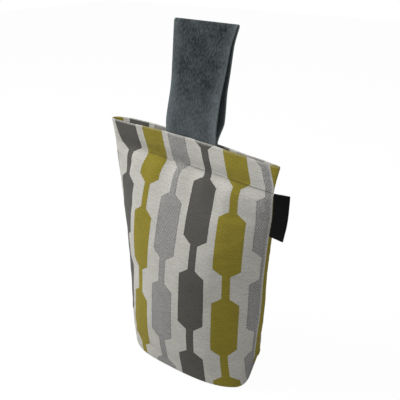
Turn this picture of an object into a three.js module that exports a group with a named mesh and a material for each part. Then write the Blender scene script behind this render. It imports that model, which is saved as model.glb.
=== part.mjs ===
// A weighted fabric door stop: a printed cloth bag filled with sand, a velvet
// carrying loop sewn into its hemmed top, and a folded satin tab in its right
// side seam. Millimetres, +Z up, the front faces -Y, the base rests on z = 0.

import * as THREE from "three";
import { toCreasedNormals } from "three/addons/utils/BufferGeometryUtils.js";

// The cover: two equal panels sewn together down the sides.
const panelWidth = 200;
const creaseHeight = 222;
const flangeHeight = 24;
// The top edge stands higher at its middle than at its two ends. Its back
// drops away towards the right.
const flangeRise = 4;
// Cloth the crease gathers in: the back of the top edge is longer by this.
const flangeFlare = 20;
// The slot stands open more to the left than to the right.
const slotLopsided = 0.46;
const topLean = 12.3;
const topTwist = THREE.MathUtils.degToRad(-6.6);

// Half depth of the bag from front to back: at the base, where it is fullest,
// half way up, near the crease, in the stitched crease and at the open top.
const baseHalfDepth = 43.5;
const fullHalfDepth = 45.8;
const waistHalfDepth = 38.5;
const shoulderHalfDepth = 20.7;
const creaseHalfDepth = 1.6;
const topHalfDepth = 5.7;

// Rounding where the walls turn under the base, and how far its left and
// right ends draw in towards the floor. The boxed corner at each end of the
// base is lifted off the floor by its seam, more at the right than at the left.
const baseRound = 5.3;
const leftTaper = 12;
const rightTaper = 1.5;
const taperHeight = 48;
const leftCornerLift = 5;
const rightCornerLift = 24.7;
const cornerTuck = 13;
const cornerHalfDepth = 23.7;
const cornerReach = 30;
// The base panel lets the foot of the bag spread by this much cloth.
const baseSpread = 15;
const baseSpreadHeight = 40;

// How far the right seam sits forward of the right end of the section.
const seamShiftBody = 0.6;
const seamShiftCrease = 1;
const seamShiftTop = 11;
const seamRidge = 0.9;
const seamRidgeWidth = 1.6;
// The back panel swells out beyond the seams.
const seamSwell = 1.8;
const seamSwellWidth = 26;

// The hemmed top: folded cloth on each side of an open slot.
const hemThickness = 1.9;
const hemRound = 0.9;
const slotDepth = 13;

// Soft folds that fan out below the crease, and the slack of the top edge.
const puckerDepth = 1.1;
const puckerPitch = 31;
const puckerReach = 46;
// Share of its width that the front loses to the gathers, from this far below
// the crease up to the top edge.
const frontGather = 0.04;
const gatherReach = 16;

// The print: six chains of long six-sided beads on thin bars, up each panel.
// Neighbouring chains are stepped up or down by a quarter of the repeat.
const chainPitch = 34.4;
const frontFirstChain = 25.7;
const backFirstChain = 4;
const repeat = 91.8;
const beadHalfWidth = 13.2;
const barHalfWidth = 3.9;
const beadSide = 52.7;
const beadShoulder = 6.8;
const firstBead = 76.5;
const chainStep = 25;
const frontSteps = [0, -1, 0, 1, 0, 1];
const backSteps = [1, 0, 1, 0, -1, 0];

// The carrying loop: a velvet band folded over and sewn into the slot.
const strapWidth = 60.4;
const strapTopWidth = 70.3;
const strapThickness = 1.7;
const strapRise = 98;
// How far apart the two legs stand: just above the top edge, half way up and
// at the fold. The back leg takes most of it.
const strapSpread = 12.4;
const strapSpreadMiddle = 8.4;
const strapSpreadFold = 3.6;
const strapBackShare = 0.7;
const strapX = 6.6;
const strapLeanX = 6;
const strapLeanY = 14.8;
const strapCurl = 1.4;

// The side tab: satin folded double, caught in the seam under the crease.
const labelHeight = 44;
const labelWidth = 12.5;
const labelThickness = 1;
const labelBelowCrease = 1.5;
const labelTurnTop = THREE.MathUtils.degToRad(2);
const labelTurnBottom = THREE.MathUtils.degToRad(-17);

// Clearance between pieces that touch on the real object.
const clearance = 0.3;

// Spacing of the rows of the mesh, how far either side of the crease the rows
// stand close together, and the number of steps in the tables of lengths.
const rowSpacing = 8.6;
const creaseRows = 6;
const tableSteps = 240;
const climbStep = 0.5;
// Rows and chain corners nearer to each other than this are merged, less
// so right at the crease.
const mergeRows = 2.6;
const mergeAtCrease = 0.8;

const creamCloth = new THREE.Color("#cbc8bd");
const charcoalPrint = new THREE.Color("#575550");
const ochrePrint = new THREE.Color("#9a9132");
const greyPrint = new THREE.Color("#908e8b");
const slateVelvet = new THREE.Color("#47545a");
const blackSatin = new THREE.Color("#101011");
const chainColours = [charcoalPrint, ochrePrint, greyPrint];
const backFirstColour = 1;

const topHeight = creaseHeight + flangeHeight;

// A smooth curve through [position, value] knots that never overshoots them.
function smoothCurve(knots) {
  const slopes = [];
  for (let i = 0; i + 1 < knots.length; i += 1) {
    slopes.push((knots[i + 1][1] - knots[i][1]) / (knots[i + 1][0] - knots[i][0]));
  }
  const tangents = knots.map((knot, i) => {
    if (i === 0) return slopes[0];
    if (i === knots.length - 1) return slopes[i - 1];
    if (slopes[i - 1] * slopes[i] <= 0) return 0;
    return 2 * slopes[i - 1] * slopes[i] / (slopes[i - 1] + slopes[i]);
  });
  return (position) => {
    let i = 0;
    while (i + 2 < knots.length && position > knots[i + 1][0]) i += 1;
    const span = knots[i + 1][0] - knots[i][0];
    const t = THREE.MathUtils.clamp((position - knots[i][0]) / span, 0, 1);
    const rise = knots[i + 1][1] - knots[i][1];
    const start = tangents[i] * span;
    const end = tangents[i + 1] * span;
    const bend = start + end - 2 * rise;
    return knots[i][1] + t * (start + t * (3 * rise - 2 * start - end + t * bend));
  };
}

const halfDepthAt = smoothCurve([
  [0, baseHalfDepth],
  [0.2 * creaseHeight, fullHalfDepth],
  [0.5 * creaseHeight, waistHalfDepth],
  [0.8 * creaseHeight, shoulderHalfDepth],
  [0.95 * creaseHeight, 0.35 * shoulderHalfDepth],
  [creaseHeight, creaseHalfDepth],
  [creaseHeight + 0.45 * flangeHeight, 0.85 * topHalfDepth],
  [topHeight, topHalfDepth],
]);
// The outline of a level section is |y| = b (1 - |x / a|^p)^q: round at the
// base, a lens half way up, thin with blunt ends at the top.
const topPower = 4.6;
const outlinePower = smoothCurve([
  [0, 3.8], [0.1 * creaseHeight, 2.6], [0.4 * creaseHeight, 1.8],
  [0.8 * creaseHeight, 3.3],
  [creaseHeight, 3.6], [topHeight, topPower],
]);
const outlineRoot = smoothCurve([
  [0, 0.38], [0.1 * creaseHeight, 0.46], [0.4 * creaseHeight, 0.61],
  [0.8 * creaseHeight, 0.77],
  [creaseHeight, 0.7], [topHeight, 0.5],
]);
const seamShiftAt = smoothCurve([
  [0, seamShiftBody], [0.8 * creaseHeight, seamShiftBody],
  [creaseHeight, seamShiftCrease], [topHeight, seamShiftTop],
]);
// How far up the flange a height is: 0 at the crease and 1 at the top edge.
function upFlange(height) {
  return THREE.MathUtils.clamp((height - creaseHeight) / flangeHeight, 0, 1);
}

// Half of the level section at one height, from its left end to its right
// end, as points with their distance along the cloth. The width is solved so
// that the distance from end to end is always that of the cloth.
const sections = new Map();
function sectionAt(height) {
  const key = height.toFixed(3);
  if (sections.has(key)) return sections.get(key);
  const depth = halfDepthAt(height);
  const power = outlinePower(height);
  const root = outlineRoot(height);
  const foot = Math.max(0, 1 - height / baseSpreadHeight);
  const span = panelWidth + 0.5 * (flangeFlare * upFlange(height) + baseSpread * foot ** 2);
  const trace = (halfWidth) => {
    const points = [];
    let along = 0;
    for (let i = 0; i <= tableSteps; i += 1) {
      const x = -halfWidth * Math.cos(Math.PI * i / tableSteps);
      const inside = Math.max(0, 1 - Math.abs(x / halfWidth) ** power);
      const y = depth * inside ** root;
      if (i > 0) along += Math.hypot(x - points[i - 1].x, y - points[i - 1].y);
      points.push({ x, y, along });
    }
    return points;
  };
  let low = 0.3 * panelWidth;
  let high = 0.5 * span;
  let points = trace(high);
  for (let i = 0; i < 34; i += 1) {
    const middle = 0.5 * (low + high);
    points = trace(middle);
    if (points[tableSteps].along > span) high = middle;
    else low = middle;
  }
  const section = { points, span, halfWidth: 0.5 * (low + high), depth };
  sections.set(key, section);
  return section;
}

// A point of the section, at a distance round it from its left end.
function roundSection(section, distance) {
  const whole = 2 * section.span;
  const wrapped = ((distance % whole) + whole) % whole;
  const front = wrapped <= section.span;
  const along = front ? wrapped : whole - wrapped;
  const { points } = section;
  let low = 0;
  let high = points.length - 1;
  while (high - low > 1) {
    const middle = (low + high) >> 1;
    if (points[middle].along <= along) low = middle;
    else high = middle;
  }
  const gap = points[high].along - points[low].along;
  const t = gap > 0 ? Math.min(1, (along - points[low].along) / gap) : 0;
  const x = points[low].x + t * (points[high].x - points[low].x);
  const y = points[low].y + t * (points[high].y - points[low].y);
  return { x, y: front ? -y : y };
}

// Height above the floor from the distance up the cloth, measured on the
// front from where it leaves the floor. The first stretch turns up the round
// of the base.
const turn = 0.5 * Math.PI * baseRound;
const climb = [{ cloth: turn, height: baseRound }];
while (climb[climb.length - 1].height < topHeight) {
  const last = climb[climb.length - 1];
  const height = Math.min(last.height + climbStep, topHeight);
  const inward = halfDepthAt(height) - halfDepthAt(last.height);
  climb.push({ cloth: last.cloth + Math.hypot(height - last.height, inward), height });
}
const clothTop = climb[climb.length - 1].cloth;
function heightAt(cloth) {
  if (cloth <= turn) return baseRound * (1 - Math.cos(cloth / baseRound));
  let i = 1;
  while (i + 1 < climb.length && climb[i].cloth < cloth) i += 1;
  const t = (cloth - climb[i - 1].cloth) / (climb[i].cloth - climb[i - 1].cloth);
  return climb[i - 1].height + Math.min(1, t) * (climb[i].height - climb[i - 1].height);
}
function clothAt(height) {
  let i = 1;
  while (i + 1 < climb.length && climb[i].height < height) i += 1;
  return climb[i].cloth;
}
const creaseCloth = clothAt(creaseHeight);

// Soft folds: they run up and down the cloth, start in the crease and die out
// below it. The front and the back differ.
function pucker(front, across, cloth) {
  const below = (creaseCloth - cloth) / puckerReach;
  const ends = Math.sin(Math.PI * across / panelWidth) ** 0.5;
  const phase = front ? 0.6 : 2.4;
  const wave = Math.sin(2 * Math.PI * across / puckerPitch + phase)
    + 0.6 * Math.sin(2 * Math.PI * across / (1.63 * puckerPitch) + 2 * phase);
  let strength = 0;
  if (below > 0 && below < 1) strength = Math.sin(Math.PI * below ** 0.55) * (1 - 0.5 * below);
  if (below <= 0) strength = 0.35 * (cloth - creaseCloth) / (clothTop - creaseCloth);
  return puckerDepth * strength * wave * ends;
}

// A point of the bag's surface. across runs from the left seam of the panel
// to its right seam, as seen from outside it. cloth is the distance up it, and
// inset moves the point in from the surface, for the inner faces of the hems.
function onBag(front, across, cloth, inset = 0) {
  const height = heightAt(cloth);
  const section = sectionAt(Math.max(height, 0.5 * baseRound));
  const shift = seamShiftAt(height);
  const part = across / panelWidth;
  const distance = front
    ? part * (section.span - shift)
    : section.span - shift + part * (section.span + shift);
  const point = roundSection(section, distance);
  const up = upFlange(height);
  const tucked = cloth < turn ? 1 - Math.sin(cloth / baseRound) : 0;
  const open = 1 - slotLopsided * up * point.x / section.halfWidth;
  const low = Math.max(0, 1 - height / taperHeight);
  const taper = low ** 2 * (point.x > 0 ? rightTaper : leftTaper);
  const scaleX = (section.halfWidth - taper - inset) / section.halfWidth;
  const scaleY = (open * section.depth - tucked * baseRound - inset) / section.depth;
  let x = point.x * scaleX;
  let y = point.y * scaleY;
  let z = height;
  const side = Math.sign(x);
  const outward = front ? -1 : 1;
  y += outward * pucker(front, across, cloth) * (inset > 0 ? 0.9 : 1);
  const seam = Math.min(across, panelWidth - across);
  if (seam < 0.01 && inset === 0) x += side * seamRidge;
  if (!front && height < creaseHeight && seam < seamSwellWidth) {
    const swell = Math.sin(Math.PI * height / creaseHeight) ** 0.5;
    x += side * seamSwell * swell * Math.sin(Math.PI * seam / seamSwellWidth);
  }
  const end = (Math.abs(point.x) - (section.halfWidth - cornerReach)) / cornerReach;
  if (end > 0 && low > 0) {
    const middle = Math.max(0, 1 - Math.abs(point.y) / cornerHalfDepth);
    const lift = point.x > 0 ? rightCornerLift : leftCornerLift;
    z += lift * end * low ** 2 * middle;
    x -= side * cornerTuck * end * low ** 2 * middle;
  }
  z += flangeRise * up * Math.sin(Math.PI * part) * (front ? 1 : part);
  const turned = topTwist * height / topHeight;
  const cos = Math.cos(turned);
  const sin = Math.sin(turned);
  return new THREE.Vector3(
    x * cos - y * sin,
    x * sin + y * cos - topLean * height / topHeight,
    z,
  );
}

// Where a line of the print lies across a panel. The front seam runs in over
// the print where it turns forward at the top, and the gathers draw the print
// in towards the middle.
function placeOfPrint(front, print, cloth) {
  if (!front) return print;
  const height = heightAt(cloth);
  const { span } = sectionAt(Math.max(height, 0.5 * baseRound));
  const place = print * span / (span - seamShiftAt(height));
  const gathered = THREE.MathUtils.smoothstep(cloth, creaseCloth - gatherReach, creaseCloth);
  return place + frontGather * gathered * (0.5 * panelWidth - place);
}

// Half width of a chain of beads at a distance up the cloth.
function chainHalfWidth(cloth, beadCentre) {
  const steps = Math.round((cloth - beadCentre) / repeat);
  const away = Math.abs(cloth - beadCentre - steps * repeat) - 0.5 * beadSide;
  const t = THREE.MathUtils.clamp(away / beadShoulder, 0, 1);
  return beadHalfWidth + t * (barHalfWidth - beadHalfWidth);
}

// Heights at which the outline of a chain turns a corner.
function chainCorners(beadCentre) {
  const corners = [];
  const reach = Math.ceil(clothTop / repeat) + 1;
  for (let i = -reach; i <= reach; i += 1) {
    const centre = beadCentre + i * repeat;
    for (const away of [0.5 * beadSide, 0.5 * beadSide + beadShoulder]) {
      corners.push(centre - away, centre + away);
    }
  }
  return corners.filter((cloth) => cloth > 1.2 && cloth < clothTop - 1.2);
}

// Rows that every part of the cover has: close together round the base and
// at the crease, evenly spaced between.
const sharedRows = [0, 0.25 * turn, 0.5 * turn, 0.75 * turn, turn];
const evenSpan = creaseCloth - creaseRows - turn;
const evenRows = Math.round(evenSpan / rowSpacing);
for (let i = 1; i < evenRows; i += 1) sharedRows.push(turn + evenSpan * i / evenRows);
for (const step of [-1, -0.4, 0, 0.4, 1]) sharedRows.push(creaseCloth + step * creaseRows);
const topRows = 3;
const topSpan = clothTop - creaseCloth - creaseRows;
for (let i = 1; i <= topRows; i += 1) {
  sharedRows.push(creaseCloth + creaseRows + topSpan * i / topRows);
}

// Rows of one chain: its own corners, and the shared rows not close to them.
function chainRows(beadCentre) {
  const corners = chainCorners(beadCentre);
  const kept = sharedRows.filter((row, i) => {
    if (i === 0 || i === sharedRows.length - 1) return true;
    const nearest = Math.min(...corners.map((corner) => Math.abs(corner - row)));
    const atCrease = Math.abs(row - creaseCloth) < 0.5 * creaseRows;
    return nearest > (atCrease ? mergeAtCrease : mergeRows);
  });
  return [...kept, ...corners].sort((a, b) => a - b);
}

// Lines that run up one panel from its left seam to its right seam. Each has
// its rows, its place across the panel, and the colour of the cloth between
// it and the next line.
function panelLines(front) {
  const steps = front ? frontSteps : backSteps;
  const ridge = seamRidgeWidth;
  const first = front ? frontFirstChain : backFirstChain;
  const chains = [];
  for (let i = 0; first + i * chainPitch - beadHalfWidth < panelWidth - 2 * ridge; i += 1) {
    const middle = (cloth) => placeOfPrint(front, first + i * chainPitch, cloth);
    const bead = firstBead + steps[i % steps.length] * chainStep;
    const number = i + (front ? 0 : backFirstColour);
    const colour = chainColours[number % chainColours.length];
    const overLeft = first + i * chainPitch - beadHalfWidth < ridge;
    const overRight = first + i * chainPitch + beadHalfWidth > panelWidth - ridge;
    chains.push({ middle, bead, colour, overLeft, overRight, rows: chainRows(bead) });
  }
  const lines = [{ rows: sharedRows, place: () => 0, colour: creamCloth }];
  let before = () => ridge;
  lines.push({ rows: sharedRows, place: before, colour: creamCloth });
  for (const chain of chains) {
    const edge = panelWidth - ridge - 1;
    const left = (cloth) => Math.min(
      edge,
      chain.middle(cloth) - chainHalfWidth(cloth, chain.bead),
    );
    const right = (cloth) => chain.middle(cloth) + chainHalfWidth(cloth, chain.bead);
    if (chain.overLeft) {
      lines[0].colour = chain.colour;
      lines[1].colour = chain.colour;
      for (const t of [1 / 3, 2 / 3]) {
        const between = (cloth) => ridge + t * (right(cloth) - ridge);
        lines.push({ rows: sharedRows, place: between, colour: chain.colour });
      }
    } else {
      const from = before;
      for (const t of [1 / 3, 2 / 3]) {
        const between = (cloth) => from(cloth) + t * (left(cloth) - from(cloth));
        lines.push({ rows: sharedRows, place: between, colour: creamCloth });
      }
      lines.push({ rows: chain.rows, place: left, colour: chain.colour });
    }
    if (chain.overRight) {
      const between = (cloth) => 0.5 * (left(cloth) + panelWidth - ridge);
      lines.push({ rows: chain.rows, place: between, colour: chain.colour });
      before = null;
    } else {
      if (!chain.overLeft) {
        lines.push({ rows: chain.rows, place: chain.middle, colour: chain.colour });
      }
      lines.push({ rows: chain.rows, place: right, colour: creamCloth });
      before = right;
    }
  }
  const last = chains[chains.length - 1];
  if (before) {
    const from = before;
    for (const t of [0.25, 0.5, 0.75]) {
      const between = (cloth) => from(cloth) + t * (panelWidth - ridge - from(cloth));
      lines.push({ rows: sharedRows, place: between, colour: creamCloth });
    }
  }
  const edgeColour = before ? creamCloth : last.colour;
  lines.push({ rows: sharedRows, place: () => panelWidth - ridge, colour: edgeColour });
  lines.push({ rows: sharedRows, place: () => panelWidth, colour: edgeColour });
  return lines.map((line) => ({
    rows: line.rows,
    colour: line.colour,
    places: line.rows.map((cloth) => line.place(cloth)),
  }));
}

// A growing list of coloured triangles.
function newSkin() {
  return { positions: [], colours: [] };
}
function addTriangle(skin, a, b, c, colour) {
  const twice = new THREE.Vector3().crossVectors(b.clone().sub(a), c.clone().sub(a)).length();
  if (twice < 1e-7) return;
  for (const corner of [a, b, c]) {
    skin.positions.push(corner.x, corner.y, corner.z);
    skin.colours.push(colour.r, colour.g, colour.b);
  }
}

// Fills the strip between two lines of points. Both start and end level, and
// measure gives each point's place along its line.
function fillStrip(skin, left, right, leftAt, rightAt, colour, flip = false) {
  let i = 0;
  let j = 0;
  while (i + 1 < left.length || j + 1 < right.length) {
    const nextLeft = i + 1 < left.length ? leftAt[i + 1] : Infinity;
    const nextRight = j + 1 < right.length ? rightAt[j + 1] : Infinity;
    const stepLeft = nextLeft <= nextRight;
    const third = stepLeft ? left[i + 1] : right[j + 1];
    if (flip) addTriangle(skin, left[i], third, right[j], colour);
    else addTriangle(skin, left[i], right[j], third, colour);
    if (stepLeft) i += 1;
    else j += 1;
  }
}

function skinMesh(name, skin, material) {
  const geometry = new THREE.BufferGeometry();
  geometry.setAttribute("position", new THREE.Float32BufferAttribute(skin.positions, 3));
  geometry.setAttribute("color", new THREE.Float32BufferAttribute(skin.colours, 3));
  const mesh = new THREE.Mesh(toCreasedNormals(geometry, 0.7), material);
  mesh.name = name;
  return mesh;
}

// The bag: both panels, the base, the rounded hems and the slot between them.
const slotCloth = clothTop - slotDepth;
const slotRows = [0, 0.5, 1].map((t) => clothTop + t * (slotCloth - clothTop));
function makeBag() {
  const skin = newSkin();
  const rims = {};
  for (const front of [true, false]) {
    const lines = panelLines(front);
    const grid = lines.map((line) => line.rows.map((cloth, i) => {
      const point = onBag(front, line.places[i], cloth);
      if (i === line.rows.length - 1) point.z -= hemRound;
      return point;
    }));
    for (let i = 0; i + 1 < lines.length; i += 1) {
      fillStrip(skin, grid[i], grid[i + 1], lines[i].rows, lines[i + 1].rows,
        lines[i].colour);
    }
    const topPlaces = lines.map((line) => line.places[line.places.length - 1]);
    const crown = topPlaces.map((across) => onBag(front, across, clothTop, 0.5 * hemThickness));
    const inner = slotRows.map((cloth, row) => topPlaces.map((across) => {
      const point = onBag(front, across, cloth, hemThickness);
      if (row === 0) point.z -= hemRound;
      return point;
    }));
    const outer = grid.map((points) => points[points.length - 1]);
    const rings = [outer, crown, ...inner];
    for (let i = 0; i + 1 < rings.length; i += 1) {
      fillStrip(skin, rings[i], rings[i + 1], topPlaces, topPlaces, creamCloth, true);
    }
    rims[front ? "front" : "back"] = {
      foot: grid.map((points) => points[0]),
      footAt: lines.map((line) => line.places[0]),
      floor: inner[inner.length - 1],
      floorAt: topPlaces,
    };
  }
  const { front, back } = rims;
  for (const name of ["foot", "floor"]) {
    back[name].reverse();
    back[`${name}At`] = back[`${name}At`].map((across) => panelWidth - across).reverse();
  }
  fillStrip(skin, front.foot, back.foot, front.footAt, back.footAt, creamCloth, false);
  fillStrip(skin, front.floor, back.floor, front.floorAt, back.floorAt, creamCloth, true);
  const cloth = new THREE.MeshStandardMaterial({
    color: 0xffffff, vertexColors: true, roughness: 0.95, metalness: 0,
  });
  return skinMesh("weighted_bag", skin, cloth);
}

// A closed tube through rings of points that all have the same number of
// corners, with flat caps at both ends.
function tubeSkin(rings, colour) {
  const skin = newSkin();
  const corners = rings[0].length;
  for (let i = 0; i + 1 < rings.length; i += 1) {
    for (let j = 0; j < corners; j += 1) {
      const k = (j + 1) % corners;
      addTriangle(skin, rings[i][j], rings[i][k], rings[i + 1][k], colour);
      addTriangle(skin, rings[i][j], rings[i + 1][k], rings[i + 1][j], colour);
    }
  }
  const last = rings[rings.length - 1];
  for (const [ring, flip] of [[rings[0], true], [last, false]]) {
    for (let j = 0; j + 2 < corners; j += 1) {
      const low = ring[(j >> 1) + (j % 2)];
      const high = ring[corners - 1 - (j >> 1)];
      const third = ring[j % 2 === 0 ? (j >> 1) + 1 : corners - 2 - (j >> 1)];
      if (flip) addTriangle(skin, low, high, third, colour);
      else addTriangle(skin, low, third, high, colour);
    }
  }
  return skin;
}

// Middle of the slot at the strap, and the height of the top edge there.
const mouth = onBag(true, 0.5 * panelWidth, clothTop);
const mouthHeight = mouth.z;
const slotFloor = onBag(true, 0.5 * panelWidth, slotCloth, hemThickness).z;
const strapFoot = slotFloor + clearance;

// Centre line of the folded band, from the foot of the front leg over the
// fold to the foot of the back leg: up is the height along it, away is the
// distance from the middle of the loop.
function strapPath() {
  const closed = strapThickness + clearance;
  const foldGap = 0.5 * strapSpreadFold;
  const top = mouthHeight + strapRise - 0.5 * strapThickness - foldGap;
  const spread = smoothCurve([
    [strapFoot, closed],
    [mouthHeight - 1, closed],
    [mouthHeight + 0.16 * strapRise, strapSpread],
    [mouthHeight + 0.5 * strapRise, strapSpreadMiddle],
    [top, strapSpreadFold],
  ]);
  const share = smoothCurve([
    [strapFoot, 0.5], [mouthHeight - 1, 0.5],
    [mouthHeight + 0.16 * strapRise, strapBackShare],
    [mouthHeight + 0.5 * strapRise, strapBackShare], [top, 0.5],
  ]);
  const leg = [strapFoot, 0.5 * (strapFoot + mouthHeight), mouthHeight - 1];
  const legSteps = 15;
  for (let i = 1; i <= legSteps; i += 1) {
    leg.push(mouthHeight - 1 + (top - mouthHeight + 1) * i / legSteps);
  }
  const rise = leg.map((up) => ({ up, away: -(1 - share(up)) * spread(up) }));
  const fold = [];
  const foldSteps = 6;
  for (let i = 1; i < foldSteps; i += 1) {
    const angle = Math.PI * i / foldSteps;
    fold.push({ up: top + foldGap * Math.sin(angle), away: -foldGap * Math.cos(angle) });
  }
  const fall = leg.map((up) => ({ up, away: share(up) * spread(up) })).reverse();
  return [...rise, ...fold, ...fall];
}

function makeStrap() {
  const path = strapPath();
  const across = [-1, -0.98, -0.9, -0.6, -0.2, 0.2, 0.6, 0.9, 0.98, 1];
  const widthAt = smoothCurve([
    [0, strapWidth], [0.35, strapWidth - 0.5],
    [0.63, 0.6 * strapWidth + 0.4 * strapTopWidth],
    [1, strapTopWidth],
  ]);
  const centreLine = 0.5 * (onBag(true, 0.5 * panelWidth, clothTop).y
    + onBag(false, 0.5 * panelWidth, clothTop).y);
  const floorLine = 0.5 * (onBag(true, 0.5 * panelWidth, slotCloth).y
    + onBag(false, 0.5 * panelWidth, slotCloth).y);
  const rings = path.map((point, i) => {
    const before = path[Math.max(0, i - 1)];
    const after = path[Math.min(path.length - 1, i + 1)];
    const run = Math.hypot(after.up - before.up, after.away - before.away);
    const normalAway = (after.up - before.up) / run;
    const normalUp = -(after.away - before.away) / run;
    const rise = THREE.MathUtils.clamp((point.up - mouthHeight) / strapRise, 0, 1);
    const place = (t, side) => {
      const half = 0.5 * strapThickness * Math.sqrt(Math.max(0, 1 - Math.abs(t) ** 40));
      const up = point.up + side * half * normalUp;
      const away = point.away + side * half * normalAway;
      const x = strapX + strapLeanX * rise + 0.5 * widthAt(rise) * t;
      const sunk = THREE.MathUtils.clamp((mouthHeight - up) / slotDepth, 0, 1);
      const middle = centreLine + sunk * (floorLine - centreLine);
      const curl = strapCurl * Math.sin(Math.PI * rise) * t ** 2;
      const turned = Math.tan(topTwist) * x;
      return new THREE.Vector3(x, middle + strapLeanY * rise + away + curl + turned, up);
    };
    const outside = across.map((t) => place(t, -1));
    const inside = across.slice(1, -1).map((t) => place(t, 1)).reverse();
    return [...outside, ...inside];
  });
  const velvet = new THREE.MeshStandardMaterial({
    color: slateVelvet, roughness: 0.85, metalness: 0,
  });
  return skinMesh("carry_strap", tubeSkin(rings, slateVelvet), velvet);
}

// The tab: a double layer with a rounded fold at its outer edge. It starts
// at the ridge of the right seam and turns forward towards its lower end.
function makeLabel() {
  const labelTop = creaseHeight - labelBelowCrease;
  const rows = 9;
  const rings = [];
  for (let i = 0; i < rows; i += 1) {
    const t = i / (rows - 1);
    const root = onBag(true, panelWidth, clothAt(labelTop - labelHeight * t));
    const angle = labelTurnTop + t * (labelTurnBottom - labelTurnTop);
    const along = new THREE.Vector3(Math.cos(angle), Math.sin(angle), 0);
    const facing = new THREE.Vector3(-along.y, along.x, 0);
    const half = 0.5 * labelThickness;
    const outline = [
      [clearance, -half], [0.5 * labelWidth, -half],
      [labelWidth - half, -half], [labelWidth - 0.3 * half, -0.7 * half],
      [labelWidth, 0], [labelWidth - 0.3 * half, 0.7 * half],
      [labelWidth - half, half], [0.5 * labelWidth, half], [clearance, half],
    ];
    rings.push(outline.map(([out, side]) => root.clone()
      .addScaledVector(along, out)
      .addScaledVector(facing, side)));
  }
  rings.reverse();
  const satin = new THREE.MeshStandardMaterial({
    color: blackSatin, roughness: 0.35, metalness: 0,
  });
  return skinMesh("side_label", tubeSkin(rings, blackSatin), satin);
}

const doorStop = new THREE.Group();
doorStop.name = "weighted_fabric_door_stop";
doorStop.add(makeBag(), makeStrap(), makeLabel());

export default doorStop;
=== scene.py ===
# %% [markdown]
# # A weighted fabric door stop
# A printed cotton bag filled with sand stands on the floor and holds a door open. Its top
# is sewn shut in a crease, the hemmed edge above the crease stands a little open, and a
# velvet band folded into a loop is sewn into it. A bare satin tab sits in the right seam.
# Sizes are in millimetres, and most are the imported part's own. The right base corner, the
# seam's shift, the tab's turn and a few soft forms of the cloth are this scene's own,
# found by comparing it with the photograph, and the text says which.

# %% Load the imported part
import math

import bmesh
import bpy
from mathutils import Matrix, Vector


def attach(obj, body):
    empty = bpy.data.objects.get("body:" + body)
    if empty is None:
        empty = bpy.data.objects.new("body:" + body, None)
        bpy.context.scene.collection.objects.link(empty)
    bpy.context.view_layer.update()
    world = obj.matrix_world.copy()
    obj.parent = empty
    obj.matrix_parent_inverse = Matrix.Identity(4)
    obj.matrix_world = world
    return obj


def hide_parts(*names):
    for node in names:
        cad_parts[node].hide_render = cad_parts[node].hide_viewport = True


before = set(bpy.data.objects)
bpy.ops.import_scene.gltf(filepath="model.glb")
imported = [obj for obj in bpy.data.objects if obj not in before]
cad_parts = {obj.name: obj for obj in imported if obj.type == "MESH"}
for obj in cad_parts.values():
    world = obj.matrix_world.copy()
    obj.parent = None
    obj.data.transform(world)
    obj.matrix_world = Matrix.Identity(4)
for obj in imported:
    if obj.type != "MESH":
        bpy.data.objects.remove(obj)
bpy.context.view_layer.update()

MM = 0.001

# %% [markdown]
# ## The camera
# The photograph was taken from the front right and a little above. The camera's place was
# found by matching the bag's base, seams and top edge to it. A camera aimed at the middle
# of the bag from there, with the same angle of view, gives the same frame. It is made
# first, because every later piece is judged through it.

# %% Camera
CAMERA_PLACE, CAMERA_AIM = Vector((287.4, -390.8, 406.1)), Vector((6.77, 0, 181.8))
SENSOR, LENS = 36, 49.455
camera = bpy.data.objects.new("photo_camera", bpy.data.cameras.new("photo_camera"))
bpy.context.scene.collection.objects.link(camera)
camera.data.sensor_width, camera.data.lens = SENSOR, LENS
camera.data.clip_start = 0.01
camera.location = CAMERA_PLACE * MM
view = CAMERA_AIM - CAMERA_PLACE
camera.rotation_euler = view.to_track_quat("-Z", "Y").to_euler()
bpy.context.scene.camera = camera
print("camera is", round(view.length), "mm away")

# %% [markdown]
# ## How deep the bag is
# The front and back are equal rectangles of cloth, cut and sewn along their sides. The
# bag is deep at the base and closes to nothing in the crease. A mesh could be sculpted by
# eye instead, but a size that changes smoothly with height is one curve through a few
# measured places, and each place can be tuned against the photograph by itself.

# %% A smooth curve through a few places
def smooth_curve(knots):
    """A smooth curve through (position, value) knots that never overshoots them."""
    slopes = [(b[1] - a[1]) / (b[0] - a[0]) for a, b in zip(knots, knots[1:])]
    tangents = [slopes[0]]
    for a, b in zip(slopes, slopes[1:]):
        tangents.append(0.0 if a * b <= 0 else 2 * a * b / (a + b))
    tangents.append(slopes[-1])

    def at(position):
        i = 0
        while i + 2 < len(knots) and position > knots[i + 1][0]:
            i += 1
        span = knots[i + 1][0] - knots[i][0]
        t = min(1.0, max(0.0, (position - knots[i][0]) / span))
        rise = knots[i + 1][1] - knots[i][1]
        start, end = tangents[i] * span, tangents[i + 1] * span
        bend = start + end - 2 * rise
        return knots[i][1] + t * (start + t * (3 * rise - 2 * start - end + t * bend))
    return at


print("half way up a smooth step:", smooth_curve([(0, 0), (1, 1)])(0.5))

# %% Depth at each height
PANEL = 200.0
CREASE, FLANGE = 222.0, 24.0
TOP = CREASE + FLANGE
BASE_DEPTH, FULL_DEPTH, WAIST_DEPTH, SHOULDER_DEPTH = 43.5, 45.8, 38.5, 20.7
CREASE_DEPTH, TOP_DEPTH = 1.6, 5.7
half_depth = smooth_curve([
    (0, BASE_DEPTH), (0.2 * CREASE, FULL_DEPTH), (0.5 * CREASE, WAIST_DEPTH),
    (0.8 * CREASE, SHOULDER_DEPTH), (0.95 * CREASE, 0.35 * SHOULDER_DEPTH),
    (CREASE, CREASE_DEPTH), (CREASE + 0.45 * FLANGE, 0.85 * TOP_DEPTH), (TOP, TOP_DEPTH)])
print("half depth at the base and the crease:", half_depth(0), half_depth(CREASE))

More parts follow.
